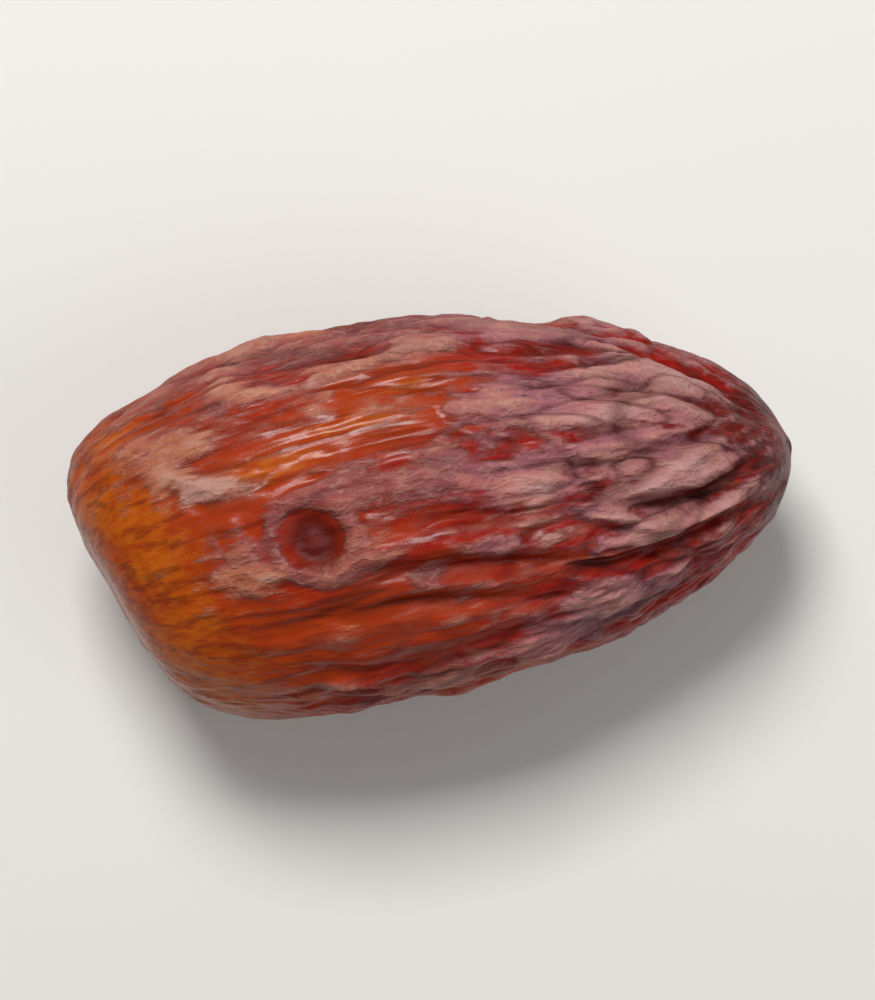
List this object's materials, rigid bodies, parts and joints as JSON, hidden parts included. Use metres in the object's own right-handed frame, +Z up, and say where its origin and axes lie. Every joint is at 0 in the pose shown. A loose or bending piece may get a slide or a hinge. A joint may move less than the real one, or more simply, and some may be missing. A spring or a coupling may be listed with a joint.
{
  "type": "medjool date",
  "caption": "Plump oval dried fruit with a blunt slanting stem end, a rounded tip and lengthwise folds and creases in its skin, lying on a small flat spot.",
  "frame": {"origin": "centre of the bounding box's underside, on the surface that the fruit rests on", "axes": "+X along the fruit from the stem end to the tip, +Y across it, +Z up from the surface that it rests on"},
  "size_m": [0.047, 0.0256, 0.0226],
  "materials": {
    "date_skin": "wrinkled fruit skin, amber at the stem end and red-brown to mauve elsewhere, wet gloss in the creases and a dull bloom on the raised plates"
  },
  "bodies": {
    "root": {"date": "date_skin"}
  },
  "joints": []
}
